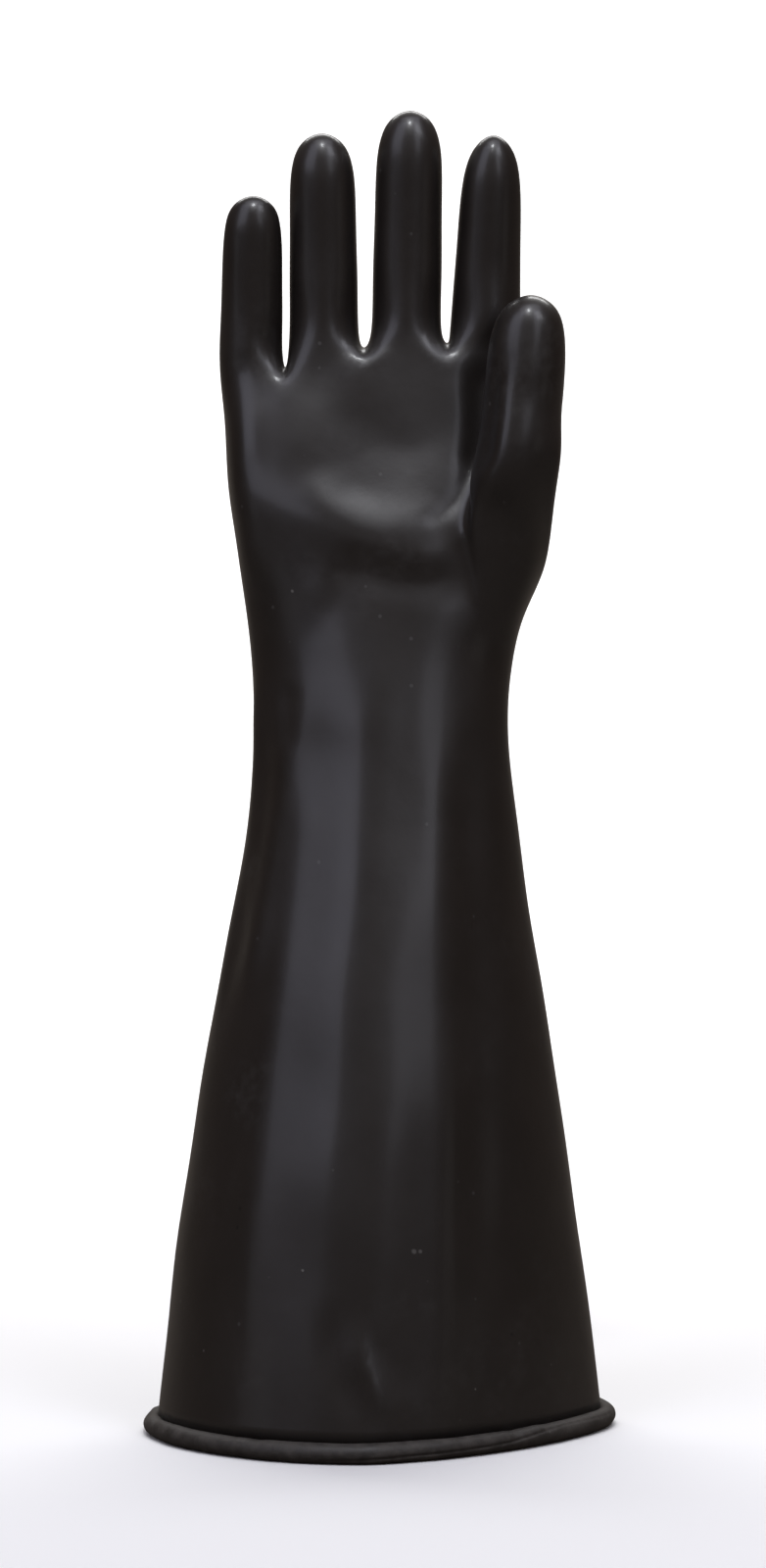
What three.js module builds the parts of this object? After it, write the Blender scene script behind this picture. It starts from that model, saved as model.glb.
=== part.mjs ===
// A heavy chemical-resistant rubber glove for the right hand, with a long flared sleeve and a rolled cuff.
// Millimetres. +Z runs from the cuff to the fingertips, +X points to the thumb, and the palm faces -Y.
// The glove stands on its rolled cuff, and the origin is on the floor under the middle of that cuff.
import * as THREE from "three";

// Rubber film and rolled cuff.
const WALL = 1.8;
const ROLL_RADIUS = 3.5;
const ROLL_OUTSET = 1.8; // from the sleeve's outer face to the middle of the roll
const ROLL_SIDES = 12;
const HEM_Z = 6.85; // the sleeve's edge, which stands a small gap clear of the roll

// Rows of a table as objects by column name.
function table(names, rows) {
  const columns = names.split(" ");
  return rows.map((row) => Object.fromEntries(row.map((value, i) => [columns[i], value])));
}

// Sections of the sleeve, the wrist and the heel of the hand, up to where the thumb parts from it. left and
// right are the outline's X, front and back its reach from Y 0, square the oval's power (2: an ellipse), and
// turn the degrees by which its front leans to the little-finger side. crease is the angle of the column on
// which the palm meets the thumb, palm how far the columns have moved to the fingers' places, and thumb how
// far the thumb's columns have left the oval.
const SECTIONS = table("z left right front back square turn crease palm thumb", [
  [HEM_Z, -77.2, 77, 67.5, 66, 1.65, 9, 300, 0, 0],
  [50, -72.6, 71.6, 61.5, 61, 1.68, 7, 300, 0, 0],
  [100, -65.7, 64.3, 55, 55, 1.7, 4, 300, 0, 0],
  [150, -57.2, 56.7, 47.5, 48, 1.72, 2, 300, 0, 0],
  [192, -49.5, 49.8, 39.5, 41, 1.75, -1, 300, 0, 0],
  [225, -45.5, 45.5, 33.5, 36, 1.78, -5, 300, 0, 0],
  [250, -44.5, 44.3, 29.6, 32, 1.85, -7, 300, 0, 0],
  [268, -45.3, 45.9, 27.8, 30, 1.95, -6, 300, 0, 0],
  [283, -47, 50.5, 26.6, 28.5, 2.1, -6, 298, 0, 0.2],
  [297, -49, 55, 26.5, 26.5, 2.15, -5, 294, 0, 0.4],
  [311, -51, 55, 27.2, 23.5, 2.35, -3, 292, 0, 0.6],
  [325, -53, 52, 25.2, 21, 2.7, -1, 294, 0.3, 0.9],
  [338, -53.9, 49.5, 22.7, 19, 2.9, 0, 300, 1, 1],
]);

// The palm between the thumb's web and the fingers, and the line along which the fingers part.
const PALM = { z: 351, left: -54.6, right: 49.0, front: 20, back: 17.5, square: 2.9, turn: 0 };
const KNUCKLES = { left: -55.8, right: 48.6, front: 16, back: 15.5, square: 3, turn: 0 };

// The hollow of the palm: its middle, how far it spreads, and its depth.
const HOLLOW = { x: 2, z: 338, wide: 30, high: 22, deep: 3.8 };

// The thumb's middle and half sizes at each height. It starts inside the heel of the hand.
const THUMB = table("z x y wide deep", [
  [283, 31, -17.5, 20, 22],
  [297, 38.4, -20.5, 20, 21],
  [311, 42.2, -23.2, 18.5, 19.7],
  [325, 44.6, -26.2, 15.6, 17],
  [338, 46.7, -28.7, 14.2, 15.3],
  [352, 48, -29.8, 13.6, 14.4],
  [362, 48.9, -31.4, 13.5, 13.8],
  [371.5, 49.5, -32.8, 13.1, 13.1],
]);
const THUMB_TIP = { x: 50.7, y: -35.5, z: 389.4, round: 2 };
const THUMB_WEB = { x: 45.5, y: -10, z: 345 };

// The webs between the fingers, from the little finger's to the index finger's.
const WEBS = [
  { x: -33.0, z: 369 },
  { x: -5.7, z: 375.6 },
  { x: 23.0, z: 377.2 },
];
const WEB_DROP = 6; // from a web's crest to its ends on the palm and on the back of the hand
const FINGER_STEP = 5; // from the webs to the first section where the fingers stand apart

// Each finger's tip, the height of its rounded end and that end's power, its middle's X at root and tip, and
// its half width and half depth at the root and where the rounded end begins. Little finger first.
const FINGERS = table("tip cap round rootX tipX rootWide tipWide rootDeep tipDeep", [
  [425.8, 19, 2.4, -45.2, -43.9, 11, 10.3, 11.2, 9.8],
  [447.2, 19, 2.2, -19.8, -20.3, 12.1, 11.3, 12.6, 10.8],
  [455, 20, 2.2, 8.8, 10.0, 12.2, 11.4, 12.8, 11],
  [446.6, 22, 2, 36.2, 38.6, 12.2, 10.5, 12.4, 10.2],
]);
const FINGER_Y = { root: -2.8, lean: -15.5, power: 1.2 }; // how far the tips lean to the palm, and how evenly
const PAD_ROUND = 1.9; // power of a fingertip's rounding from front to back
const TUBE_STEPS = [0, 0.34, 0.68, 1]; // sections from a finger's root to where its tip begins
const CAP_STEPS = [0.5, 0.17]; // sections of a rounded tip, as shares of its height below the very top

// Columns of the sleeve's grid: 0 is the little-finger side, 1 to 8 lie on the palm, 9 to 13 become the
// thumb, 14 is the index finger's side, and the others lie on the back of the hand.
const COLUMNS = 24;
const CREASE = 8;
const INDEX_SIDE = 14;
const INDEX_SIDE_ANGLE = 390;
const CORNER = 0.944; // a side finger's outer corner, as a share of the palm's half width

const FIT_ROUNDS = 12; // of moving the cage until its smooth surface passes through the tables' points

const degrees = Math.PI / 180;
const mix = (a, b, t) => a + (b - a) * t;
const power = (value, exponent) => Math.sign(value) * Math.abs(value) ** exponent;

// A point of a section's oval. The angle runs from the little-finger side, 180, past the palm, 270.
function ovalPoint(section, angle, z) {
  const across = power(Math.cos((angle - section.turn) * degrees), 2 / section.square);
  const forward = power(Math.sin(angle * degrees), 2 / section.square);
  const x = mix(section.left, section.right, (1 + across) / 2);
  if (forward > 0) return new THREE.Vector3(x, forward * section.back, z);
  const away = ((x - HOLLOW.x) / HOLLOW.wide) ** 2 + ((z - HOLLOW.z) / HOLLOW.high) ** 2;
  return new THREE.Vector3(x, forward * section.front + HOLLOW.deep * Math.exp(-away), z);
}

// The angle at which a section's oval stands at a share, from -1 to 1, of its half width.
function angleAt(share, square, onBack) {
  const turn = Math.acos(power(share, square / 2)) / degrees;
  return onBack ? 360 + turn : 360 - turn;
}

// Where the palm's columns stand, as shares of its half width: corner, middle and web of each finger.
function palmShares() {
  const middle = (KNUCKLES.left + KNUCKLES.right) / 2;
  const half = (KNUCKLES.right - KNUCKLES.left) / 2;
  const [first, second, third] = WEBS.map((web) => (web.x - middle) / half);
  return [
    -CORNER,
    (first - 1) / 2,
    first,
    (first + second) / 2,
    second,
    (second + third) / 2,
    third,
    (third + 1) / 2,
    CORNER,
  ];
}

const shares = palmShares();

// The angle of a column where the columns stand evenly on both sides of the crease.
function evenAngle(column, crease) {
  if (column <= CREASE) return mix(180, crease, column / CREASE);
  if (column > INDEX_SIDE) {
    return mix(INDEX_SIDE_ANGLE, 540, (column - INDEX_SIDE) / (COLUMNS - INDEX_SIDE));
  }
  return mix(crease, INDEX_SIDE_ANGLE, (column - CREASE) / (INDEX_SIDE - CREASE));
}

// The angle of a column where the columns stand at the fingers' places.
function palmAngle(column, square) {
  if (column === 0) return 180;
  if (column <= CREASE) return angleAt(shares[column - 1], square, false);
  if (column > INDEX_SIDE) return angleAt(shares[COLUMNS - 1 - column], square, true);
  return mix(palmAngle(CREASE, square), 360, (column - CREASE) / (INDEX_SIDE - CREASE));
}

// A row of the thumb's table at any height.
function thumbAt(z) {
  const next = THUMB.findIndex((row) => row.z >= z);
  if (next <= 0) return next < 0 ? THUMB[THUMB.length - 1] : THUMB[0];
  const [low, high] = [THUMB[next - 1], THUMB[next]];
  const t = (z - low.z) / (high.z - low.z);
  return {
    x: mix(low.x, high.x, t),
    y: mix(low.y, high.y, t),
    wide: mix(low.wide, high.wide, t),
    deep: mix(low.deep, high.deep, t),
  };
}

function thumbPoint(row, angle, z) {
  const x = row.x + row.wide * Math.cos(angle * degrees);
  const y = row.y + row.deep * Math.sin(angle * degrees);
  return new THREE.Vector3(x, y, z);
}

// Angles round the thumb of its first column and between its columns, in the heel and where it has parted.
const HEEL_LOOP = { first: 230, step: 33 };
const THUMB_LOOP = { first: 175, step: 48 };
const THUMB_START = 130; // the angle round the free thumb of the palm's last column

// The glove's outline points and the four-sided faces between them.
const points = [];
const quads = [];
const addPoint = (point) => points.push(point) - 1;

function bridge(lower, upper) {
  lower.forEach((_, i) => {
    const j = (i + 1) % lower.length;
    quads.push([lower[i], lower[j], upper[j], upper[i]]);
  });
}

function sectionRow(section) {
  return Array.from({ length: COLUMNS }, (_, column) => {
    const even = evenAngle(column, section.crease);
    const angle = mix(even, palmAngle(column, section.square), section.palm);
    const point = ovalPoint(section, angle, section.z);
    if (column > CREASE && column < INDEX_SIDE) {
      const parted = section.thumb ** 3;
      const first = mix(HEEL_LOOP.first, THUMB_LOOP.first, parted);
      const step = mix(HEEL_LOOP.step, THUMB_LOOP.step, parted);
      const turn = first + step * (column - CREASE - 1);
      point.lerp(thumbPoint(thumbAt(section.z), turn, section.z), section.thumb);
    }
    return addPoint(point);
  });
}

// A digit from its root loop of 8 points: sections, then a rounded tip closed by 4 faces round its top point.
function digit(loop, sections, tip) {
  let last = loop;
  for (const ring of sections) {
    const upper = ring.map(addPoint);
    bridge(last, upper);
    last = upper;
  }
  const top = addPoint(tip);
  // Corners are the loop's even places, and the top point joins the odd ones.
  for (let side = 1; side < 8; side += 2) {
    quads.push([top, last[side], last[(side + 1) % 8], last[(side + 2) % 8]]);
  }
}

// Half width of a rounded tip at a share of its height below the top.
const capShare = (below, round) => (1 - (1 - below) ** round) ** (1 / round);

function buildThumb(loop) {
  const ring = (row, z, size) =>
    Array.from({ length: 8 }, (_, i) => {
      const sized = { ...row, wide: row.wide * size, deep: row.deep * size };
      return thumbPoint(sized, THUMB_START + 45 * i, z);
    });
  const webTop = SECTIONS[SECTIONS.length - 1].z;
  const rows = THUMB.filter((row) => row.z > webTop);
  const base = rows[rows.length - 1];
  const height = THUMB_TIP.z - base.z;
  const caps = CAP_STEPS.map((below) => {
    const t = 1 - below;
    const middle = { ...base, x: mix(base.x, THUMB_TIP.x, t), y: mix(base.y, THUMB_TIP.y, t) };
    return ring(middle, THUMB_TIP.z - below * height, capShare(below, THUMB_TIP.round));
  });
  const tip = new THREE.Vector3(THUMB_TIP.x, THUMB_TIP.y, THUMB_TIP.z);
  digit(loop, [...rows.map((row) => ring(row, row.z, 1)), ...caps], tip);
}

function buildFinger(finger, loop, rootZ) {
  const capZ = finger.tip - finger.cap;
  const section = (z, wideShare, deepShare) => {
    const t = Math.min(1, (z - rootZ) / (capZ - rootZ));
    const lean = (z - rootZ) / (finger.tip - rootZ);
    const x = mix(finger.rootX, finger.tipX, lean);
    const y = FINGER_Y.root + FINGER_Y.lean * lean ** FINGER_Y.power;
    const wide = mix(finger.rootWide, finger.tipWide, t) * wideShare;
    const deep = mix(finger.rootDeep, finger.tipDeep, t) * deepShare;
    return Array.from({ length: 8 }, (_, i) => thumbPoint({ x, y, wide, deep }, 225 + 45 * i, z));
  };
  const tube = TUBE_STEPS.map((t) => section(mix(rootZ, capZ, t), 1, 1));
  const caps = CAP_STEPS.map((below) => {
    const [wideShare, deepShare] = [capShare(below, finger.round), capShare(below, PAD_ROUND)];
    return section(finger.tip - below * finger.cap, wideShare, deepShare);
  });
  const tip = new THREE.Vector3(finger.tipX, FINGER_Y.root + FINGER_Y.lean, finger.tip);
  digit(loop, [...tube, ...caps], tip);
}

function buildCage() {
  const rows = SECTIONS.map(sectionRow);
  for (let i = 1; i < rows.length; i += 1) bridge(rows[i - 1], rows[i]);
  const split = rows[rows.length - 1];
  const web = addPoint(new THREE.Vector3(THUMB_WEB.x, THUMB_WEB.y, THUMB_WEB.z));
  buildThumb([...split.slice(CREASE, INDEX_SIDE + 1), web]);

  // The palm goes on with 20 columns, because the thumb's web stands for the 5 that left with it.
  const aroundPalm = [...split.slice(0, CREASE + 1), web, ...split.slice(INDEX_SIDE)];
  const frontOf = (share) => [share, false];
  const backOf = (share) => [share, true];
  const places = [[-1, false], ...shares.map(frontOf), [1, false], ...shares.slice().reverse().map(backOf)];
  const palmRow = (section, heightAt) =>
    places.map(([share, onBack]) => {
      const angle = angleAt(share, section.square, onBack);
      return addPoint(ovalPoint(section, angle, heightAt(share)));
    });
  const palm = palmRow(PALM, () => PALM.z);
  bridge(aroundPalm, palm);
  const webShares = [shares[2], shares[4], shares[6]];
  const webLine = (share) => {
    if (share <= webShares[0]) return WEBS[0].z;
    if (share >= webShares[2]) return WEBS[2].z;
    const i = share < webShares[1] ? 0 : 1;
    const t = (share - webShares[i]) / (webShares[i + 1] - webShares[i]);
    return mix(WEBS[i].z, WEBS[i + 1].z, t);
  };
  const top = palmRow(KNUCKLES, (share) => webLine(share) - WEB_DROP);
  bridge(palm, top);

  // Around the top row: 0 the little-finger side, 1 to 9 the palm, 10 the index side, 11 to 19 the back.
  const crests = WEBS.map(({ x, z }) => addPoint(new THREE.Vector3(x, FINGER_Y.root, z)));
  FINGERS.forEach((finger, i) => {
    const front = [1, 2, 3].map((step) => top[2 * i + step]);
    const back = [17, 18, 19].map((step) => top[step - 2 * i]);
    const inner = i === FINGERS.length - 1 ? top[10] : crests[i];
    const outer = i === 0 ? top[0] : crests[i - 1];
    const rootZ = Math.max(WEBS[Math.max(0, i - 1)].z, WEBS[Math.min(2, i)].z) + FINGER_STEP;
    buildFinger(finger, [...front, inner, ...back, outer], rootZ);
  });
  return rows[0];
}

// Faces round each point, and the neighbours of the points on the open edge.
function neighbourhood(count, faces, rim) {
  const around = Array.from({ length: count }, () => []);
  faces.forEach((face) => face.forEach((point, i) => around[point].push([face, i])));
  const edge = new Map(rim.map((point, i) => [point, [rim.at(i - 1), rim[(i + 1) % rim.length]]]));
  return { around, edge };
}

// Where a smooth subdivision surface passes for each point of its control cage.
function limitPoints(cage, { around, edge }) {
  return cage.map((point, i) => {
    const sum = new THREE.Vector3();
    if (edge.has(i)) {
      const [before, after] = edge.get(i);
      return sum.addScaledVector(point, 4).add(cage[before]).add(cage[after]).divideScalar(6);
    }
    const n = around[i].length;
    sum.addScaledVector(point, n * n);
    for (const [face, at] of around[i]) {
      sum.addScaledVector(cage[face[(at + 1) % 4]], 2).addScaledVector(cage[face[(at + 3) % 4]], 2);
      sum.add(cage[face[(at + 2) % 4]]);
    }
    return sum.divideScalar(n * (n + 5));
  });
}

// Moves the cage until its smooth surface passes through every target point.
function fitCage(targets, hood) {
  let cage = targets.map((target) => target.clone());
  for (let round = 0; round < FIT_ROUNDS; round += 1) {
    const reached = limitPoints(cage, hood);
    cage = cage.map((point, i) => point.add(targets[i]).sub(reached[i]));
  }
  return cage;
}

// One round of Catmull-Clark subdivision of a mesh of four-sided faces with one open edge.
function subdivide(cage, faces, rim) {
  const { around, edge } = neighbourhood(cage.length, faces, rim);
  const next = [];
  const add = (point) => next.push(point) - 1;
  const middle = (indices, from) =>
    indices.reduce((sum, i) => sum.add(from[i]), new THREE.Vector3()).divideScalar(indices.length);
  cage.forEach((point, i) => {
    if (edge.has(i)) {
      const [before, after] = edge.get(i);
      add(point.clone().multiplyScalar(6).add(cage[before]).add(cage[after]).divideScalar(8));
      return;
    }
    const n = around[i].length;
    const moved = point.clone().multiplyScalar(n - 3);
    for (const [face, at] of around[i]) {
      moved.addScaledVector(middle(face, cage), 1 / n);
      moved.addScaledVector(middle([i, face[(at + 1) % 4]], cage), 2 / n);
    }
    add(moved.divideScalar(n));
  });
  const centres = faces.map((face) => add(middle(face, cage)));
  const sides = new Map();
  const key = (a, b) => (a < b ? `${a} ${b}` : `${b} ${a}`);
  faces.forEach((face, f) =>
    face.forEach((a, i) => {
      const b = face[(i + 1) % 4];
      const side = sides.get(key(a, b)) ?? { ends: [a, b], faces: [] };
      side.faces.push(centres[f]);
      sides.set(key(a, b), side);
    }),
  );
  for (const side of sides.values()) {
    const point = middle(side.ends, cage);
    if (side.faces.length === 2) point.lerp(middle(side.faces, next), 0.5);
    side.point = add(point);
  }
  const at = (a, b) => sides.get(key(a, b)).point;
  const split = faces.flatMap((face, f) =>
    face.map((a, i) => [a, at(a, face[(i + 1) % 4]), centres[f], at(a, face[(i + 3) % 4])]),
  );
  const newRim = rim.flatMap((a, i) => [a, at(a, rim[(i + 1) % rim.length])]);
  return { cage: next, faces: split, rim: newRim };
}

// Unit normals of a mesh of four-sided faces, pointing out of the glove.
function normalsOf(surface, faces) {
  const normals = surface.map(() => new THREE.Vector3());
  for (const [a, b, c, d] of faces) {
    const across = surface[c].clone().sub(surface[a]).cross(surface[d].clone().sub(surface[b]));
    [a, b, c, d].forEach((i) => normals[i].add(across));
  }
  return normals.map((normal) => normal.normalize());
}

function geometryOf(surface, faces) {
  const index = faces.flatMap(([a, b, c, d]) => [a, b, c, a, c, d]);
  const positions = surface.flatMap((point) => point.toArray());
  const geometry = new THREE.BufferGeometry();
  geometry.setAttribute("position", new THREE.Float32BufferAttribute(positions, 3));
  geometry.setIndex(index);
  geometry.computeVertexNormals();
  return geometry;
}

// The film: the outer skin, the same skin moved in by the wall, and the edge between them at the cuff.
function filmGeometry(skin, faces, rim) {
  const normals = normalsOf(skin, faces);
  const inner = skin.map((point, i) => point.clone().addScaledVector(normals[i], -WALL));
  const inside = faces.map((face) => face.map((i) => i + skin.length).reverse());
  const edge = rim.map((a, i) => {
    const b = rim[(i + 1) % rim.length];
    return [b, a, a + skin.length, b + skin.length];
  });
  return geometryOf([...skin, ...inner], [...faces, ...inside, ...edge]);
}

// The rolled cuff: a round section, flat where it stands, carried round the sleeve's edge.
function rollGeometry(edge) {
  const surface = [];
  const faces = [];
  const count = edge.length;
  const corner = ROLL_RADIUS / Math.cos(Math.PI / ROLL_SIDES);
  edge.forEach((point, i) => {
    const along = edge[(i + 1) % count].clone().sub(edge[(i + count - 1) % count]).setZ(0).normalize();
    const outward = new THREE.Vector3(along.y, -along.x, 0);
    const middle = point.clone().setZ(ROLL_RADIUS).addScaledVector(outward, ROLL_OUTSET);
    for (let side = 0; side < ROLL_SIDES; side += 1) {
      const angle = ((side + 0.5) * 2 * Math.PI) / ROLL_SIDES - Math.PI / 2;
      const out = outward.clone().multiplyScalar(corner * Math.cos(angle));
      surface.push(middle.clone().add(out).setZ(ROLL_RADIUS + corner * Math.sin(angle)));
      const next = (side + 1) % ROLL_SIDES;
      const [here, ahead] = [i * ROLL_SIDES, ((i + 1) % count) * ROLL_SIDES];
      faces.push([here + side, ahead + side, ahead + next, here + next]);
    }
  });
  return geometryOf(surface, faces);
}

const rim = buildCage();
const fitted = fitCage(points, neighbourhood(points.length, quads, rim));
const fine = subdivide(fitted, quads, rim);
const skin = limitPoints(fine.cage, neighbourhood(fine.cage.length, fine.faces, fine.rim));

const rubber = new THREE.MeshStandardMaterial({ color: 0x1c1b1c, roughness: 0.42, metalness: 0 });
const dustyRubber = new THREE.MeshStandardMaterial({ color: 0x2b2926, roughness: 0.7, metalness: 0 });

function named(name, geometry, material) {
  const mesh = new THREE.Mesh(geometry, material);
  mesh.name = name;
  return mesh;
}

const glove = new THREE.Group();
glove.add(named("glove_shell", filmGeometry(skin, fine.faces, fine.rim), rubber));
glove.add(named("rolled_cuff", rollGeometry(fine.rim.map((i) => skin[i])), dustyRubber));

export default glove;
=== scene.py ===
"""A heavy chemical-resistant rubber glove for the right hand, standing on its rolled cuff.

Sizes in the tables are millimetres, as the glove's maker would give them, and points become metres when a
mesh is made. +Z runs from the cuff to the fingertips, +X is the thumb's side, and the palm faces -Y.
"""

import bpy
import numpy as np
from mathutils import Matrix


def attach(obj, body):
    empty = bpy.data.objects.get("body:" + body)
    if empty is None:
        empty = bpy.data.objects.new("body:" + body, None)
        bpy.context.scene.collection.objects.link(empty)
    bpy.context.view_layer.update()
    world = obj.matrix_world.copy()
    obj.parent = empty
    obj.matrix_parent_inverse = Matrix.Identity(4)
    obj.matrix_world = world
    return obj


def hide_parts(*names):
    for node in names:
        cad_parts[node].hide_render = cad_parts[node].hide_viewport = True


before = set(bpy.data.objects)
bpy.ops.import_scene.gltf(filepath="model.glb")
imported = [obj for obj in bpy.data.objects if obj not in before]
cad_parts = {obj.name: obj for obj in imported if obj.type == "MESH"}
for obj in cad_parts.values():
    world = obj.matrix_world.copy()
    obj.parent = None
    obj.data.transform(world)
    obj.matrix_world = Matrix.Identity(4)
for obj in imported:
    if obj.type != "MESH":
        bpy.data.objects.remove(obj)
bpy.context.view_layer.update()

MM = 0.001
WALL = 1.8
ROLL_RADIUS = 3.5
ROLL_OUTSET = 1.8  # from the sleeve's outer face to the middle of the roll
SMOOTHING = 3  # rounds of subdivision of the film's control cage


def table(names, rows):
    """Rows of a table as dictionaries by column name."""
    return [dict(zip(names.split(), row)) for row in rows]


# Sections of sleeve, wrist and palm: see oval() for square and turn, and section_row() for the last three.
SECTIONS = table(
    "z left right front back square turn crease palm thumb",
    [
        (5.0, -77.3, 77.1, 67.6, 66.1, 1.65, 9, 300, 0, 0),
        (50, -72.6, 71.6, 61.5, 61, 1.68, 7, 300, 0, 0),
        (100, -65.7, 64.3, 55, 55, 1.7, 4, 300, 0, 0),
        (150, -57.2, 56.7, 47.5, 48, 1.72, 2, 300, 0, 0),
        (192, -49.5, 49.8, 39.5, 41, 1.75, -1, 300, 0, 0),
        (225, -45.5, 45.5, 33.5, 36, 1.78, -5, 300, 0, 0),
        (250, -44.5, 44.3, 29.6, 32, 1.85, -7, 300, 0, 0),
        (268, -45.3, 45.9, 27.8, 30, 1.95, -6, 300, 0, 0),
        (283, -47, 50.5, 26.6, 28.5, 2.1, -6, 298, 0, 0.2),
        (297, -49, 55, 26.5, 26.5, 2.15, -5, 294, 0, 0.4),
        (311, -51, 55, 27.2, 23.5, 2.35, -3, 292, 0, 0.6),
        (325, -53, 52, 25.2, 21, 2.7, -1, 294, 0.3, 0.9),
        (338, -53.9, 49.5, 22.7, 19, 2.9, 0, 300, 1, 1),
    ],
)
PALM = dict(z=351, left=-54.6, right=49.0, front=20, back=17.5, square=2.9, turn=0)
KNUCKLES = dict(left=-55.8, right=48.6, front=16, back=15.5, square=3, turn=0)
HOLLOW = dict(x=2, z=338, wide=30, high=22, deep=3.8)
THUMB = table(
    "z x y wide deep",
    [
        (283, 31, -17.5, 20, 22),
        (297, 38.4, -20.5, 20, 21),
        (311, 42.2, -23.2, 18.5, 19.7),
        (325, 44.6, -26.2, 15.6, 17),
        (338, 46.7, -28.7, 14.2, 15.3),
        (352, 48, -29.8, 13.6, 14.4),
        (362, 48.9, -31.4, 13.5, 13.8),
        (371.5, 49.5, -32.8, 13.1, 13.1),
    ],
)
THUMB_TIP = dict(x=50.7, y=-35.5, z=389.4, round=2)
THUMB_WEB = (45.5, -10, 345)
WEBS = np.array([(-33.0, 369), (-5.7, 375.6), (23.0, 377.2)])  # X and Z of each web between two fingers
WEB_DROP = 6
FINGER_STEP = 5
FINGERS = table(
    "tip cap round root_x tip_x root_wide tip_wide root_deep tip_deep",
    [
        (425.8, 19, 2.4, -45.2, -43.9, 11, 10.3, 11.2, 9.8),
        (447.2, 19, 2.2, -19.8, -20.3, 12.1, 11.3, 12.6, 10.8),
        (455, 20, 2.2, 8.8, 10.0, 12.2, 11.4, 12.8, 11),
        (446.6, 22, 2, 36.2, 38.6, 12.2, 10.5, 12.4, 10.2),
    ],
)
FINGER_Y = dict(root=-2.8, lean=-15.5, power=1.2)  # how far the tips lean to the palm, and how evenly
PAD_ROUND = 1.9  # power of a fingertip's rounding from front to back
TUBE_STEPS = (0, 0.34, 0.68, 1)
CAP_STEPS = (0.5, 0.17)
COLUMNS = 24
CREASE = 8
INDEX_SIDE = 14
INDEX_SIDE_ANGLE = 390
CORNER = 0.944
HEEL_LOOP = dict(first=230, step=33)
THUMB_LOOP = dict(first=175, step=48)
THUMB_START = 130
FIT_ROUNDS = 12


def mix(a, b, t):
    return a + (b - a) * t


def power(value, exponent):
    """The value's size raised to the exponent, with the value's sign."""
    return np.sign(value) * np.abs(value) ** exponent


def bump(distance, width):
    """A bell that is 1 at distance 0 and falls as exp of minus the squared distance over the width."""
    return np.exp(-((distance / width) ** 2))


def oval(row, angle, z):
    """Points of a section: X goes from left to right with the cosine of the angle, turned back by turn, and Y
    from front to back with its sine, both raised to 2 over square; the palm's front side sinks by HOLLOW."""
    radians = np.radians(np.asarray(angle, float))
    across = power(np.cos(radians - np.radians(row["turn"])), 2 / row["square"])
    forward = power(np.sin(radians), 2 / row["square"])
    x = mix(row["left"], row["right"], (1 + across) / 2)
    z = np.broadcast_to(np.asarray(z, float), x.shape)
    away = ((x - HOLLOW["x"]) / HOLLOW["wide"]) ** 2 + ((z - HOLLOW["z"]) / HOLLOW["high"]) ** 2
    front = forward * row["front"] + HOLLOW["deep"] * np.exp(-away)
    return np.stack([x, np.where(forward > 0, forward * row["back"], front), z], 1)


def angle_at(share, square, on_back):
    """The angle at which an oval stands at a share, from -1 to 1, of its half width."""
    turn = np.degrees(np.arccos(power(np.asarray(share, float), square / 2)))
    return 360 + turn if on_back else 360 - turn


def palm_shares():
    """Places of the palm's nine columns across its half width: corner, middle and web of each finger."""
    middle = (KNUCKLES["left"] + KNUCKLES["right"]) / 2
    half = (KNUCKLES["right"] - KNUCKLES["left"]) / 2
    one, two, three = (WEBS[:, 0] - middle) / half
    between = [(one - 1) / 2, one, (one + two) / 2, two, (two + three) / 2, three, (three + 1) / 2]
    return np.array([-CORNER, *between, CORNER])


SHARES = palm_shares()


def even_angles(crease):
    """Angles of the 24 columns, spread evenly on both sides of the crease's column."""
    columns = [0, CREASE, INDEX_SIDE, COLUMNS]
    return np.interp(np.arange(COLUMNS), columns, [180, crease, INDEX_SIDE_ANGLE, 540])


def palm_angles(square):
    """Angles of the 24 columns where they stand at the fingers' places."""
    front = angle_at(SHARES[:CREASE], square, False)
    side = np.linspace(front[-1], 360, INDEX_SIDE - CREASE + 1)[1:]
    back = angle_at(SHARES[::-1], square, True)
    return np.concatenate([[180], front, side, back])


def thumb_points(row, angle, z):
    """Points of an ellipse round the thumb's middle at the given angles."""
    radians = np.radians(np.asarray(angle, float))
    x = row["x"] + row["wide"] * np.cos(radians)
    y = row["y"] + row["deep"] * np.sin(radians)
    return np.stack([x, y, np.broadcast_to(np.asarray(z, float), x.shape)], 1)


def thumb_at(z):
    heights = [row["z"] for row in THUMB]
    return {key: np.interp(z, heights, [row[key] for row in THUMB]) for key in ("x", "y", "wide", "deep")}


def section_row(row):
    """A row of 24 points: evenly spread columns moved to the fingers' places by palm, and the thumb's own five
    columns moved from the oval to the thumb's ellipse by thumb."""
    angles = mix(even_angles(row["crease"]), palm_angles(row["square"]), row["palm"])
    points = oval(row, angles, row["z"])
    own = np.arange(CREASE + 1, INDEX_SIDE)
    first = mix(HEEL_LOOP["first"], THUMB_LOOP["first"], row["thumb"] ** 3)
    step = mix(HEEL_LOOP["step"], THUMB_LOOP["step"], row["thumb"] ** 3)
    thumb = thumb_points(thumb_at(row["z"]), first + step * np.arange(len(own)), row["z"])
    points[own] = mix(points[own], thumb, row["thumb"])
    return points


def cap_share(below, roundness):
    """Half width of a rounded tip at a share of its height below the top, by a superellipse."""
    return (1 - (1 - below) ** roundness) ** (1 / roundness)


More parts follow.
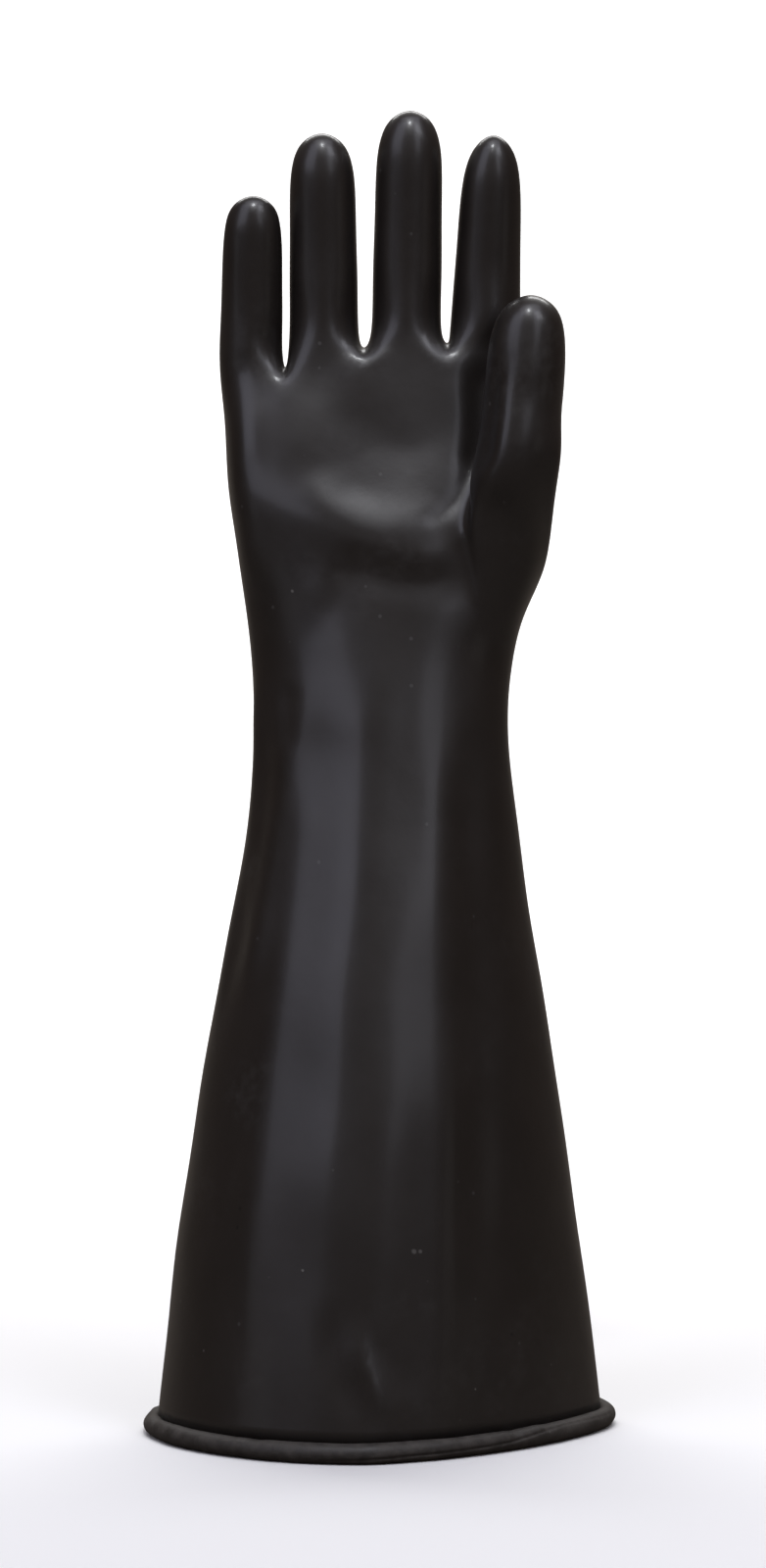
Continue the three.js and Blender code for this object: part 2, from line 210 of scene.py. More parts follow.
class Cage:
    """The film's control points, and the four-sided faces between neighbouring rings of them."""

    def __init__(self):
        self.rings = []
        self.bands = []
        self.count = 0

    def ring(self, points):
        points = np.atleast_2d(np.asarray(points, float))
        self.rings.append(points)
        self.count += len(points)
        return np.arange(self.count - len(points), self.count)

    def bridge(self, lower, upper):
        self.bands.append(np.stack([lower, np.roll(lower, -1), np.roll(upper, -1), upper], 1))

    def digit(self, loop, sections, tip):
        """Sections above a root loop of 8, closed by 4 faces round the tip's top point."""
        for section in sections:
            upper = self.ring(section)
            self.bridge(loop, upper)
            loop = upper
        top = np.repeat(self.ring(tip), 4)
        self.bands.append(np.stack([top, loop[1::2], np.roll(loop, -2)[::2], np.roll(loop, -3)[::2]], 1))


def add_thumb(cage, loop):
    turn = THUMB_START + 45 * np.arange(8)
    rows = [row for row in THUMB if row["z"] > SECTIONS[-1]["z"]]
    rings = [thumb_points(row, turn, row["z"]) for row in rows]
    base, tip = rows[-1], THUMB_TIP
    for below in CAP_STEPS:
        size = cap_share(below, tip["round"])
        middle = {key: mix(base[key], tip[key], 1 - below) for key in ("x", "y")}
        middle.update(wide=base["wide"] * size, deep=base["deep"] * size)
        rings.append(thumb_points(middle, turn, tip["z"] - below * (tip["z"] - base["z"])))
    cage.digit(loop, rings, (tip["x"], tip["y"], tip["z"]))


def add_finger(cage, finger, loop, root_z):
    turn = 225 + 45 * np.arange(8)
    cap_z = finger["tip"] - finger["cap"]

    def section(z, wide, deep):
        t = min(1, (z - root_z) / (cap_z - root_z))
        lean = (z - root_z) / (finger["tip"] - root_z)
        row = dict(
            x=mix(finger["root_x"], finger["tip_x"], lean),
            y=FINGER_Y["root"] + FINGER_Y["lean"] * lean ** FINGER_Y["power"],
            wide=mix(finger["root_wide"], finger["tip_wide"], t) * wide,
            deep=mix(finger["root_deep"], finger["tip_deep"], t) * deep,
        )
        return thumb_points(row, turn, z)

    rings = [section(mix(root_z, cap_z, t), 1, 1) for t in TUBE_STEPS]
    for below in CAP_STEPS:
        shares = cap_share(below, finger["round"]), cap_share(below, PAD_ROUND)
        rings.append(section(finger["tip"] - below * finger["cap"], *shares))
    cage.digit(loop, rings, (finger["tip_x"], FINGER_Y["root"] + FINGER_Y["lean"], finger["tip"]))


def film_cage():
    """The whole control cage: sections from the cuff up, the thumb out of five of their columns, then the palm
    with 20 columns up to the webs, and a finger on each loop of 8 between them."""
    cage = Cage()
    rows = [cage.ring(section_row(row)) for row in SECTIONS]
    for lower, upper in zip(rows, rows[1:]):
        cage.bridge(lower, upper)
    split = rows[-1]
    web = cage.ring(THUMB_WEB)
    add_thumb(cage, np.concatenate([split[CREASE : INDEX_SIDE + 1], web]))
    shares = np.concatenate([[-1], SHARES, [1], SHARES[::-1]])
    on_back = np.arange(len(shares)) > len(SHARES) + 1

    def palm_row(row, heights):
        front = angle_at(shares, row["square"], False)
        angle = np.where(on_back, angle_at(shares, row["square"], True), front)
        return oval(row, angle, heights)

    palm = cage.ring(palm_row(PALM, PALM["z"]))
    cage.bridge(np.concatenate([split[: CREASE + 1], web, split[INDEX_SIDE:]]), palm)
    line = np.interp(shares, SHARES[[2, 4, 6]], WEBS[:, 1]) - WEB_DROP
    top = cage.ring(palm_row(KNUCKLES, line))
    cage.bridge(palm, top)
    crests = [cage.ring((x, FINGER_Y["root"], z))[0] for x, z in WEBS]
    inner = [*crests, top[10]]
    outer = [top[0], *crests]
    for i, finger in enumerate(FINGERS):
        front = top[2 * i + 1 : 2 * i + 4]
        back = top[17 - 2 * i : 20 - 2 * i]
        loop = np.concatenate([front, [inner[i]], back, [outer[i]]])
        add_finger(cage, finger, loop, max(WEBS[max(0, i - 1), 1], WEBS[min(2, i), 1]) + FINGER_STEP)
    return np.concatenate(cage.rings), np.concatenate(cage.bands), rows[0]


def limit_points(points, faces, rim):
    """Where the smooth surface passes for each control point: n squared times the point, 4 times its
    neighbours and once the opposite corners, over n times n + 5; on the open edge, 4 and the 2 neighbours,
    over 6."""
    total = np.zeros_like(points)
    number = np.zeros(len(points))
    for i in range(4):
        corner = faces[:, i]
        sides = points[faces[:, (i + 1) % 4]] + points[faces[:, (i + 3) % 4]]
        part = 2 * sides + points[faces[:, (i + 2) % 4]]
        np.add.at(total, corner, part)
        np.add.at(number, corner, 1)
    n = number[:, None]
    limit = (n * n * points + total) / (n * (n + 5))
    limit[rim] = (4 * points[rim] + points[np.roll(rim, 1)] + points[np.roll(rim, -1)]) / 6
    return limit


def fit_cage(targets, faces, rim):
    """Moves the cage by what its smooth surface misses the targets by, until it passes through them."""
    cage = targets.copy()
    for _ in range(FIT_ROUNDS):
        cage += targets - limit_points(cage, faces, rim)
    return cage


def subdivide(points, faces, rim):
    """One round of Catmull-Clark: a point for each face and each side, and each old point moved to the mean of
    its face points plus twice its side middles plus n - 3 times itself, over n."""
    sides = np.sort(np.stack([faces, np.roll(faces, -1, 1)], 2).reshape(-1, 2), 1)
    edges, inverse = np.unique(sides, axis=0, return_inverse=True)
    side_of = inverse.reshape(faces.shape)
    centres = points[faces].mean(1)
    middles = points[edges].mean(1)
    shared = np.bincount(side_of.ravel(), minlength=len(edges)) == 2
    around = np.zeros_like(middles)
    np.add.at(around, side_of.ravel(), np.repeat(centres, 4, 0))
    side_points = np.where(shared[:, None], middles / 2 + around / 4, middles)
    n = np.bincount(faces.ravel(), minlength=len(points)).astype(float)[:, None]
    face_sum = np.zeros_like(points)
    np.add.at(face_sum, faces.ravel(), np.repeat(centres, 4, 0))
    side_sum = np.zeros_like(points)
    for side in (side_of, np.roll(side_of, 1, 1)):
        np.add.at(side_sum, faces.ravel(), middles[side.ravel()])
    moved = (face_sum / n + side_sum / n + (n - 3) * points) / n
    moved[rim] = (6 * points[rim] + points[np.roll(rim, 1)] + points[np.roll(rim, -1)]) / 8
    sides_at = len(points) + len(centres)
    corner_sides = side_of + sides_at
    middle = np.repeat(np.arange(len(faces)) + len(points), 4)
    quads = np.stack([faces.ravel(), corner_sides.ravel(), middle, np.roll(corner_sides, 1, 1).ravel()], 1)
    lookup = {tuple(edge): i for i, edge in enumerate(edges[~shared].tolist())}
    open_sides = np.flatnonzero(~shared)
    pairs = np.sort(np.stack([rim, np.roll(rim, -1)], 1), 1).tolist()
    rim_sides = sides_at + open_sides[[lookup[tuple(pair)] for pair in pairs]]
    return np.concatenate([moved, centres, side_points]), quads, np.stack([rim, rim_sides], 1).ravel()


def normals(points, faces):
    """Unit normals from the crossed diagonals of each point's faces."""
    across = np.cross(points[faces[:, 2]] - points[faces[:, 0]], points[faces[:, 3]] - points[faces[:, 1]])
    total = np.zeros_like(points)
    for i in range(4):
        np.add.at(total, faces[:, i], across)
    return total / np.linalg.norm(total, axis=1, keepdims=True)


def path_distance(u, v, path):
    """Distance of each point from a line of straight pieces, and the share of the line where it is nearest."""
    path = np.asarray(path, float)
    start, step = path[:-1], np.diff(path, axis=0)
    length = np.linalg.norm(step, axis=1)
    done = np.concatenate([[0], np.cumsum(length)])[:-1]
    rel_u, rel_v = u[:, None] - start[:, 0], v[:, None] - start[:, 1]
    t = np.clip((rel_u * step[:, 0] + rel_v * step[:, 1]) / length**2, 0, 1)
    distance = np.hypot(rel_u - t * step[:, 0], rel_v - t * step[:, 1])
    best = distance.argmin(1)
    rows = np.arange(len(u))
    return distance[rows, best], (done[best] + t[rows, best] * length[best]) / length.sum()


# Forms on the palm's side: each with its width, its height out of the surface, and a line of X, Z points. They
# fade at both ends.
PALM_FORMS = [
    ("bowl's rim", 7, 0.55, [(-26, 330), (-17, 317), (-8, 308), (4, 302.5), (15, 301), (24, 308)]),
    ("bowl's foot", 8, -0.5, [(-20, 334), (-10, 326), (0, 321), (10, 319.5), (20, 321), (28, 328)]),
    ("below the rim", 6, -1.0, [(-17, 303), (-8, 297), (4, 293), (16, 292), (30, 296)]),
    ("little finger's side", 6, 1.2, [(-46.5, 382), (-46.6, 335), (-45, 308), (-41, 285)]),
    ("thumb's ridge", 4, 0.9, [(20, 303), (27, 309), (33, 317), (38.5, 330), (42.3, 348), (43.5, 368)]),
    ("thumb's crease", 2.5, -0.5, [(12, 312.5), (19.4, 315.2), (26.1, 321.9), (31.5, 333.3)]),
    ("beside the thumb", 5.5, -1.7, [(33, 326), (34.5, 350), (36, 372)]),
    ("little finger's heel", 11, 0.9, [(-60, 301), (-44, 300), (-32, 295), (-22, 289), (-14, 285)]),
    ("middle finger's root", 1.8, 0.35, [(12.5, 379), (16, 372.5), (21, 369), (27, 368.8), (31, 372)]),
    ("ring finger's root", 1.6, 0.25, [(-10, 377), (-8.5, 371.5), (-6, 369), (-2, 369.5), (2.5, 375)]),
    (
        "sleeve's left edge",
        6,
        0.8,
        [
            *[(-29, 285), (-27, 250), (-28, 215), (-32, 180)],
            *[(-38, 130), (-42, 90), (-44, 40), (-44, 10)],
        ],
    ),
    ("sleeve's middle edge", 7, 0.5, [(-8, 262), (-9, 200), (-14, 150), (-18, 94), (-20, 40), (-20, 10)]),
    ("wrist's rise", 15, 1.3, [(-56, 246), (-38, 248), (-22, 249), (-6, 247), (10, 245)]),
    ("side fold", 3.5, 1.5, [(-42.5, 266), (-44.5, 235), (-45.2, 205), (-46.5, 170)]),
    (
        "sleeve's right edge",
        6.5,
        0.85,
        [
            *[(38, 268), (30, 254), (24, 240), (20.5, 222), (20, 200)],
            *[(21, 165), (22, 120), (21, 80), (20, 25), (20, -30)],
        ],
    ),
    (
        "beside the right edge",
        7,
        -1.1,
        [
            *[(43, 264), (37, 246), (31.5, 225), (31, 200)],
            *[(33, 165), (34, 130), (34, 85), (33, 40)],
        ],
    ),
    ("between the edges", 8, -0.5, [(6, 262), (6, 225), (4, 180), (3, 130), (3, 90)]),
    ("wrist's dent", 3.5, -0.7, [(-32, 260), (-31, 248), (-32, 234)]),
    ("hem's fold", 3.2, 0.9, [(-10, 44), (-9, 38), (-4, 28), (1, 19.5), (11, 13.5)]),
    ("behind the fold", 5, -0.7, [(-17, 50), (-17, 34), (-11, 22), (-6, 12)]),
    ("before the fold", 3.5, -0.6, [(-5, 40), (5, 29), (14, 20)]),
]

# Forms on the little finger's side, by Y and Z.
SIDE_FORMS = [
    ("long fold", 4.5, 1.8, [(-16, 262), (-18, 235), (-20, 205), (-24, 175), (-27, 140)]),
    ("behind the fold", 5, -0.8, [(-10, 212), (-13, 180), (-15, 140)]),
]


def with_forms(points, out):
    """Moves the film along its normals by every form that it lies on: the height times a bell of the distance
    from the form's line, faded to nothing at the line's ends and where the film faces another way."""
    x, y, z = points.T
    rise = np.zeros(len(points))
    front = np.clip((-out[:, 1] - 0.15) / 0.5, 0, 1)
    left = np.clip((-out[:, 0] - 0.25) / 0.5, 0, 1)
    for forms, across, facing in ((PALM_FORMS, x, front), (SIDE_FORMS, y, left)):
        for _, width, height, path in forms:
            distance, along = path_distance(across, z, path)
            ends = np.clip(4 * along, 0, 1) * np.clip(4 * (1 - along), 0, 1)
            ends = ends * ends * (3 - 2 * ends)
            rise += height * bump(distance, width) * ends * facing
    sway = 0.35 * np.sin(z / 23 + x / 31) * np.sin(x / 17 - z / 41)
    sway = sway + 0.2 * np.sin(z / 9.5 + 1.3) * np.sin(x / 12 + 0.4)
    fade = np.clip((z - 8) / 30, 0, 1) * np.clip((300 - z) / 60, 0, 1)
    return points + out * (rise + sway * fade)[:, None]


def make_mesh(name, points, faces):
    """A smooth-shaded object at the origin from points in millimetres and four-sided faces."""
    mesh = bpy.data.meshes.new(name)
    mesh.vertices.add(len(points))
    mesh.vertices.foreach_set("co", (points * MM).astype(np.float32).ravel())
    mesh.loops.add(faces.size)
    mesh.loops.foreach_set("vertex_index", faces.astype(np.int32).ravel())
    mesh.polygons.add(len(faces))
    mesh.polygons.foreach_set("loop_start", np.arange(0, faces.size, 4, dtype=np.int32))
    mesh.polygons.foreach_set("use_smooth", np.ones(len(faces), bool))
    mesh.update(calc_edges=True)
    mesh.validate()
    piece = bpy.data.objects.new(name, mesh)
    bpy.context.scene.collection.objects.link(piece)
    return piece


def film_skin():
    """The film's outer skin: the fitted cage, subdivided, moved to its smooth limit and given its forms."""
    targets, faces, rim = film_cage()
    points = fit_cage(targets, faces, rim)
    for _ in range(SMOOTHING):
        points, faces, rim = subdivide(points, faces, rim)
    points = limit_points(points, faces, rim)
    points = with_forms(points, normals(points, faces))
    return points, faces, rim


def rubber_film(points, faces, rim):
    """The film: the outer skin, the same skin moved in along its normals by the wall, and the edge between."""
    inner = points - normals(points, faces) * WALL
    n = len(points)
    nxt = np.roll(rim, -1)
    edge = np.stack([nxt, rim, rim + n, nxt + n], 1)
    all_faces = np.concatenate([faces, faces[:, ::-1] + n, edge])
    return make_mesh("glove_film", np.concatenate([points, inner]), all_faces)


def cuff_roll(hem):
    """The rolled cuff: a round section carried round the hem, a little thicker and thinner along the way, with
    the groove of its winding that wanders round the section, and a few pinches where the film folded in."""
    count, sides = 720, 48
    closed = np.concatenate([hem, hem[:1]])
    run = np.concatenate([[0], np.cumsum(np.linalg.norm(np.diff(closed[:, :2], axis=0), axis=1))])
    s = np.arange(count) / count
    path = np.stack([np.interp(s * run[-1], run, closed[:, k]) for k in (0, 1)], 1)
    for _ in range(6):
        path = (np.roll(path, 1, 0) + 2 * path + np.roll(path, -1, 0)) / 4
    along = np.roll(path, -1, 0) - np.roll(path, 1, 0)
    along /= np.linalg.norm(along, axis=1, keepdims=True)
    outward = np.stack([along[:, 1], -along[:, 0]], 1)
    x = path[:, 0]
    front = path[:, 1] < 0
    phi = 2 * np.pi * np.arange(sides) / sides
    angle = 2 * np.pi * s
    wander = 0.12 * np.sin(3 * angle + 0.6) + 0.08 * np.sin(7 * angle + 2.1)
    swell = -0.12 + 0.05 * np.sin(5 * angle) + 0.05 * np.sin(11 * angle + 1) + 0.03 * np.sin(23 * angle + 2)
    radius = ROLL_RADIUS + swell[:, None] + np.zeros(sides)
    groove_at = np.where(front, np.interp(x, [-70, -10, 40, 62], [-0.9, -0.5, -0.1, 0.7]), -0.4) + wander
    turned = np.angle(np.exp(1j * (phi[None] - groove_at[:, None])))
    deep = np.where(front, np.interp(x, [-60, -20, 0, 48, 56], [0.05, 0.12, 0.42, 0.5, 0.15]), 0.25)
    radius -= deep[:, None] * bump(turned, 0.11)
    radius -= (0.6 * deep)[:, None] * np.clip(1 - turned / 0.9, 0, 1) * (turned > 0) * 0.5
    for place, width, depth, centre in PINCHES:
        near = bump(x - place, width) * front
        radius -= depth * near[:, None] * bump(np.angle(np.exp(1j * (phi - centre)))[None], 0.9)
    middle = path + outward * ROLL_OUTSET
    points = np.empty((count, sides, 3))
    points[..., :2] = middle[:, None] + outward[:, None] * (radius * np.cos(phi))[..., None]
    points[..., 2] = np.maximum(ROLL_RADIUS + radius * np.sin(phi), 0)
    index = np.arange(count * sides).reshape(count, sides)
    ahead, up = np.roll(index, -1, 0), np.roll(index, -1, 1)
    both = np.roll(ahead, -1, 1)
    faces = np.stack([index, ahead, both, up], 2).reshape(-1, 4)
    return make_mesh("cuff_rolled_rim", points.reshape(-1, 3), faces)


# Where the front of the roll is pinched: X, width along it, depth, and the angle round its section.
PINCHES = [
    (-77.5, 1.2, 0.8, 0.9),
    (-74.5, 1.0, 0.7, 1.2),
    (-72, 1.2, 0.4, 0.2),
    (-40, 2.5, 0.3, 1.4),
    (43, 2.0, 0.5, 1.2),
    (51, 2.5, -0.35, 1.3),
    (62, 3, 0.25, 0.6),
]


# Materials.


def new_material(name):
    material = bpy.data.materials.new(name)
    material.use_nodes = True
    nodes, links = material.node_tree.nodes, material.node_tree.links
    nodes.clear()
    output = nodes.new("ShaderNodeOutputMaterial")
    shader = nodes.new("ShaderNodeBsdfPrincipled")
    links.new(shader.outputs["BSDF"], output.inputs["Surface"])
    place = nodes.new("ShaderNodeTexCoord")
    return material, nodes, links, shader, place.outputs["Object"]


def new_group(name, inputs, outputs):
    """A node group whose sockets have these names, types and first values."""
    group = bpy.data.node_groups.new(name, "ShaderNodeTree")
    for label, kind, value in inputs:
        socket = group.interface.new_socket(label, in_out="INPUT", socket_type=kind)
        if value is not None:
            socket.default_value = value
    for label, kind in outputs:
        group.interface.new_socket(label, in_out="OUTPUT", socket_type=kind)
    return group, group.nodes.new("NodeGroupInput").outputs, group.nodes.new("NodeGroupOutput").inputs


def maths(tree, operation, *values, clamp=False):
    node = tree.nodes.new("ShaderNodeMath")
    node.operation = operation
    node.use_clamp = clamp
    for socket, value in zip(node.inputs, values):
        if isinstance(value, (int, float)):
            socket.default_value = value
        else:
            tree.links.new(value, socket)
    return node.outputs[0]


def noise(tree, place, scale, detail=3.0, roughness=0.55):
    node = tree.nodes.new("ShaderNodeTexNoise")
    node.inputs["Detail"].default_value = detail
    node.inputs["Roughness"].default_value = roughness
    tree.links.new(place, node.inputs["Vector"])
    if isinstance(scale, (int, float)):
        node.inputs["Scale"].default_value = scale
    else:
        tree.links.new(scale, node.inputs["Scale"])
    return node.outputs["Fac"]


def span(tree, value, low, high):
    """0 below low, 1 above high and smooth between."""
    node = tree.nodes.new("ShaderNodeMapRange")
    node.interpolation_type = "SMOOTHSTEP"
    node.inputs["From Min"].default_value = low
    node.inputs["From Max"].default_value = high
    tree.links.new(value, node.inputs["Value"])
    return node.outputs["Result"]


def blend(tree, mask, first, second):
    node = tree.nodes.new("ShaderNodeMix")
    node.data_type = "RGBA"
    for socket, value in zip((node.inputs[0], node.inputs[6], node.inputs[7]), (mask, first, second)):
        if isinstance(value, tuple):
            socket.default_value = (*value, 1)
        else:
            tree.links.new(value, socket)
    return node.outputs[2]


def dust_group():
    """Chalky dust: a cloudy mask of soft smudges and a speck mask of small hard dots."""
    group, given, wanted = new_group(
        "chalk_dust",
        [
            ("Place", "NodeSocketVector", None),
            ("Smudge Scale", "NodeSocketFloat", 30.0),
            ("Speck Scale", "NodeSocketFloat", 260.0),
        ],
        [("Smudge", "NodeSocketFloat"), ("Speck", "NodeSocketFloat")],
    )
    wide = span(group, noise(group, given["Place"], given["Smudge Scale"], 5, 0.65), 0.52, 0.78)
    fine = noise(group, given["Place"], maths(group, "MULTIPLY", given["Smudge Scale"], 14.0), 3, 0.6)
    group.links.new(maths(group, "MULTIPLY", wide, span(group, fine, 0.35, 0.7)), wanted["Smudge"])
    cells = group.nodes.new("ShaderNodeTexVoronoi")
    group.links.new(given["Place"], cells.inputs["Vector"])
    group.links.new(given["Speck Scale"], cells.inputs["Scale"])
    dot = span(group, cells.outputs["Distance"], 0.16, 0.07)
    split = group.nodes.new("ShaderNodeSeparateColor")
    group.links.new(cells.outputs["Color"], split.inputs[0])
    rare = maths(group, "GREATER_THAN", split.outputs[0], 0.93)
    group.links.new(maths(group, "MULTIPLY", dot, rare), wanted["Speck"])
    return group


def marks_group(name, marks):
    """Marks at given places: for each, 1 inside its radius and 0 outside, the largest of all taken."""
    place_in = [("Place", "NodeSocketVector", None)]
    group, given, wanted = new_group(name, place_in, [("Mask", "NodeSocketFloat")])
    total = None
    wobble = noise(group, given["Place"], 900.0, 2)
    for centre, size, strength in marks:
        away = group.nodes.new("ShaderNodeVectorMath")
        away.operation = "DISTANCE"
        group.links.new(given["Place"], away.inputs[0])
        away.inputs[1].default_value = centre
        reach = maths(group, "MULTIPLY_ADD", wobble, size * 0.9, away.outputs["Value"])
        mark = maths(group, "MULTIPLY", span(group, reach, size * 1.5, size * 0.9), strength)
        total = mark if total is None else maths(group, "MAXIMUM", total, mark)
    group.links.new(total, wanted["Mask"])
    return group


def use_group(tree, group, place, **values):
    node = tree.nodes.new("ShaderNodeGroup")
    node.node_tree = group
    tree.links.new(place, node.inputs["Place"])
    for label, value in values.items():
        node.inputs[label.replace("_", " ")].default_value = value
    return node.outputs


def bump_node(tree, height, distance, strength=1.0, normal=None):
    node = tree.nodes.new("ShaderNodeBump")
    node.inputs["Strength"].default_value = strength
    node.inputs["Distance"].default_value = distance
    tree.links.new(height, node.inputs["Height"])
    if normal is not None:
        tree.links.new(normal, node.inputs["Normal"])
    return node.outputs["Normal"]


def on_front(points, out, x, z):
    """The film's front point nearest to a given X and Z, in metres."""
    away = np.hypot(points[:, 0] - x, points[:, 2] - z) + 1000 * (out[:, 1] > -0.05)
    away += 0.05 * points[:, 1]
    return tuple(float(v) for v in points[away.argmin()] * MM)


def film_material(dust, pale, dark):
    """Dipped black rubber: near black, half gloss, faintly mottled, with chalk on the sleeve and small pits."""
    material, nodes, links, shader, place = new_material("rubber_film")
    tree = material.node_tree
    mottle = noise(tree, place, 38.0, 4, 0.6)
    colour = blend(tree, span(tree, mottle, 0.35, 0.7), (0.0105, 0.0080, 0.0067), (0.0138, 0.0108, 0.0094))
    chalk = use_group(tree, dust, place, Smudge_Scale=16.0, Speck_Scale=190.0)
    smudge = maths(tree, "MULTIPLY", chalk["Smudge"], 0.10)
    colour = blend(tree, smudge, colour, (0.16, 0.155, 0.15))
    colour = blend(tree, maths(tree, "MULTIPLY", chalk["Speck"], 0.10), colour, (0.3, 0.3, 0.3))
    colour = blend(tree, use_group(tree, pale, place)["Mask"], colour, (0.24, 0.23, 0.22))
    colour = blend(tree, use_group(tree, dark, place)["Mask"], colour, (0.001, 0.001, 0.001))
    links.new(colour, shader.inputs["Base Color"])
    patches = span(tree, noise(tree, place, 24.0, 5, 0.6), 0.3, 0.75)
    rough = maths(tree, "MULTIPLY_ADD", patches, 0.08, 0.365)
    rough = maths(tree, "ADD", rough, maths(tree, "MULTIPLY", chalk["Smudge"], 0.12))
    links.new(rough, shader.inputs["Roughness"])
    shader.inputs["IOR"].default_value = 1.5
    shader.inputs["Coat Weight"].default_value = 0.35
    shader.inputs["Coat Roughness"].default_value = 0.2
    fine = noise(tree, place, 420.0, 3, 0.6)
    wide = noise(tree, place, 45.0, 2, 0.5)
    soft = bump_node(tree, wide, 0.0006, 0.35)
    links.new(bump_node(tree, fine, 0.00006, 0.5, soft), shader.inputs["Normal"])
    return material


def roll_material(dust):
    """The same rubber, handled and dusty: browner, matt, with fine pits and chalk that lies in streaks."""
    material, nodes, links, shader, place = new_material("dusty_rubber")
    tree = material.node_tree
    mottle = noise(tree, place, 160.0, 5, 0.65)
    colour = blend(tree, span(tree, mottle, 0.3, 0.75), (0.026, 0.0225, 0.020), (0.062, 0.055, 0.049))
    chalk = use_group(tree, dust, place, Smudge_Scale=60.0, Speck_Scale=420.0)
    colour = blend(tree, maths(tree, "MULTIPLY", chalk["Smudge"], 0.35), colour, (0.12, 0.11, 0.10))
    colour = blend(tree, maths(tree, "MULTIPLY", chalk["Speck"], 0.2), colour, (0.22, 0.21, 0.2))
    links.new(colour, shader.inputs["Base Color"])
    rough = maths(tree, "MULTIPLY_ADD", span(tree, mottle, 0.3, 0.7), 0.18, 0.52)
    links.new(rough, shader.inputs["Roughness"])
    fine = noise(tree, place, 900.0, 4, 0.7)
    wide = noise(tree, place, 130.0, 3, 0.6)
    soft = bump_node(tree, wide, 0.0008, 0.5)
    links.new(bump_node(tree, fine, 0.00015, 0.5, soft), shader.inputs["Normal"])
    return material


def set_material(piece, material):
    piece.data.materials.clear()
    piece.data.materials.append(material)


# Camera, as far from the glove as the photograph's own.
camera_data = bpy.data.cameras.new("camera")
camera_data.sensor_fit = "VERTICAL"
camera_data.sensor_height = 36
camera_data.lens = 82.4
camera_data.clip_start = 0.05
camera_data.clip_end = 30
camera = bpy.data.objects.new("camera", camera_data)
camera.location = (0.00068, -1.25, 0.2239)
camera.rotation_euler = (np.pi / 2, 0, 0)
bpy.context.scene.collection.objects.link(camera)
bpy.context.scene.camera = camera

# The glove.
skin, skin_faces, skin_rim = film_skin()
film = rubber_film(skin, skin_faces, skin_rim)
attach(film, "root")
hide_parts("glove_shell")
rim = cuff_roll(skin[skin_rim])
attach(rim, "root")
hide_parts("rolled_cuff")

facing = normals(skin, skin_faces)
PALE_MARKS = [
    (-30, 290, 0.7, 0.4),
    (11, 71, 1.1, 0.3),
    (13, 68.5, 0.8, 0.3),
    (-27, 62, 0.6, 0.5),
    (-25.5, 62, 0.4, 0.5),
    (32, 23, 0.4, 0.4),
    (-60, 33, 0.5, 0.3),
]
DARK_MARKS = [
    (-47, 83, 0.8, 0.9),
    (-48.6, 77, 0.7, 0.9),
    (44, 40, 0.9, 0.7),
    (4, 149, 0.6, 0.6),
    (-16, 108, 0.5, 0.6),
    (12, 112, 0.5, 0.6),
]
def placed(marks):
    """The marks with their X and Z moved onto the film's front, and their sizes in metres."""
    return [(on_front(skin, facing, x, z), size * MM, much) for x, z, size, much in marks]


pale = marks_group("pale_marks", placed(PALE_MARKS))
dark = marks_group("dark_pits", placed(DARK_MARKS))
dust = dust_group()
set_material(film, film_material(dust, pale, dark))
set_material(rim, roll_material(dust))


# Floor and light.
def sweep_floor():
    """A floor 3 m wide that runs back and curves up into a wall: Y forward on the flat part, then a quarter
    circle of 0.8 m, then straight up."""
    flat = np.stack([np.linspace(-2.2, 1.2, 24), np.zeros(24)], 1)
    turn = np.linspace(0, np.pi / 2, 24)[1:]
    curve = np.stack([1.2 + 0.8 * np.sin(turn), 0.8 - 0.8 * np.cos(turn)], 1)
    wall = np.stack([np.full(8, 2.0), np.linspace(0.8, 3.2, 9)[1:]], 1)
    profile = np.concatenate([flat, curve, wall])
    across = np.linspace(-2.5, 2.5, 12)
    points = np.empty((len(profile), len(across), 3))
    points[..., 0] = across
    points[..., 1:] = profile[:, None]
    index = np.arange(points.size // 3).reshape(len(profile), -1)
    faces = np.stack([index[:-1, :-1], index[:-1, 1:], index[1:, 1:], index[1:, :-1]], 2).reshape(-1, 4)
    return make_mesh("pale_floor", points.reshape(-1, 3) / MM, faces)


floor = sweep_floor()
floor_material, floor_nodes, floor_links, floor_shader, _ = new_material("pale_floor")
seen = floor_nodes.new("ShaderNodeLightPath").outputs["Is Camera Ray"]
floor_shade = blend(floor_material.node_tree, seen, (0.14, 0.122, 0.105), (0.92, 0.92, 0.92))
floor_links.new(floor_shade, floor_shader.inputs["Base Color"])
floor_shader.inputs["Roughness"].default_value = 1.0
floor_shader.inputs["Specular IOR Level"].default_value = 0.0
floor.data.materials.append(floor_material)


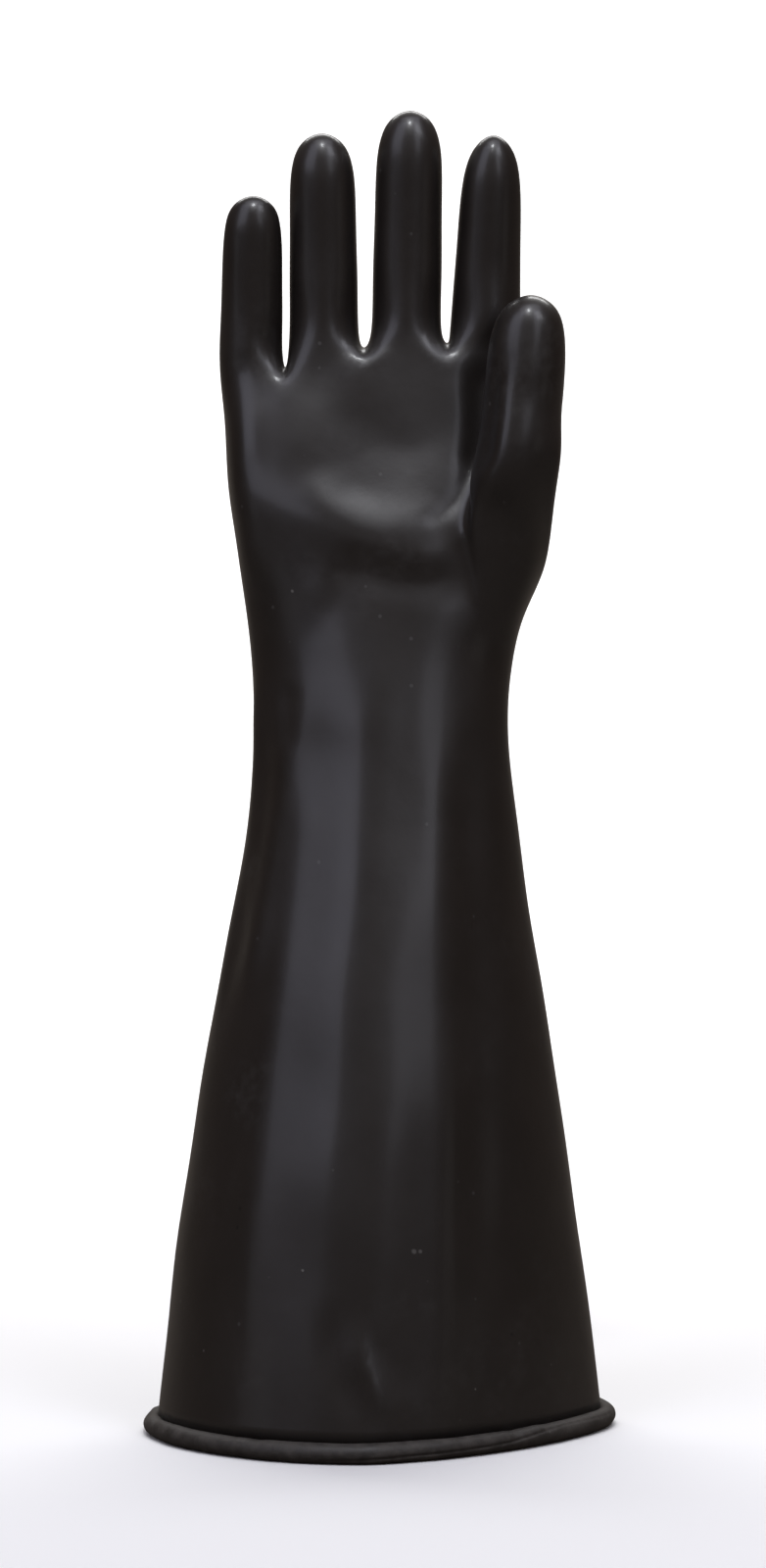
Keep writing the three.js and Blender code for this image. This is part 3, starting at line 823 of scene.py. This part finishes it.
def soft_light(name, place, target, size, watts, colour):
    data = bpy.data.lights.new(name, "AREA")
    data.shape = "RECTANGLE"
    data.size, data.size_y = size
    data.energy = watts
    data.color = colour
    light = bpy.data.objects.new(name, data)
    light.location = place
    aim = np.array(target) - np.array(place)
    aim = aim / np.linalg.norm(aim)
    light.rotation_euler = (np.arccos(-aim[2]), 0, np.arctan2(aim[1], aim[0]) - np.pi / 2)
    bpy.context.scene.collection.objects.link(light)
    return light


AIM = (0, 0, 0.24)
soft_light("left_softbox", (-0.89, -0.98, 0.98), AIM, (0.9, 1.3), 5.3, (0.81, 0.83, 1.0))
soft_light("right_softbox", (0.6, -1.15, 0.98), AIM, (0.42, 1.35), 2.4, (0.86, 0.88, 1.0))
soft_light("right_high_softbox", (0.74, -0.88, 1.2), AIM, (0.45, 0.45), 2.6, (0.9, 0.91, 1.0))
soft_light("left_bounce", (-1.28, -0.74, 0.04), AIM, (0.45, 0.4), 0.2, (0.9, 0.93, 1.0))
soft_light("right_bounce", (1.28, -0.74, 0.04), AIM, (0.45, 0.4), 0.15, (1.0, 0.97, 0.95))
soft_light("front_high_light", (0.0, -1.15, 1.2), AIM, (0.45, 0.45), 0.3, (0.9, 0.91, 1.0))
soft_light("top_light", (0.0, -0.65, 1.2), AIM, (0.12, 0.12), 3.5, (0.95, 0.97, 1.0))
soft_light("front_light", (-0.1, -1.5, 0.5), AIM, (1.8, 0.4), 0.34, (0.95, 0.95, 1.0))
soft_light("ceiling_light", (0.1, -0.75, 2.0), AIM, (2.2, 1.0), 10, (0.86, 0.87, 1.0))
soft_light("back_light", (0, 1.1, 1.9), (0, 1.9, 0.5), (2.4, 0.8), 60, (1.0, 1.0, 1.0))

world = bpy.data.worlds.new("studio")
world.use_nodes = True
bpy.context.scene.world = world
world_tree = world.node_tree
background = world_tree.nodes["Background"]
seen = world_tree.nodes.new("ShaderNodeLightPath").outputs["Is Camera Ray"]
world_shade = blend(world_tree, seen, (0.095, 0.074, 0.064), (1.0, 1.0, 1.0))
world_tree.links.new(world_shade, background.inputs["Color"])
background.inputs["Strength"].default_value = 1.0
bpy.context.scene.view_settings.view_transform = "Standard"
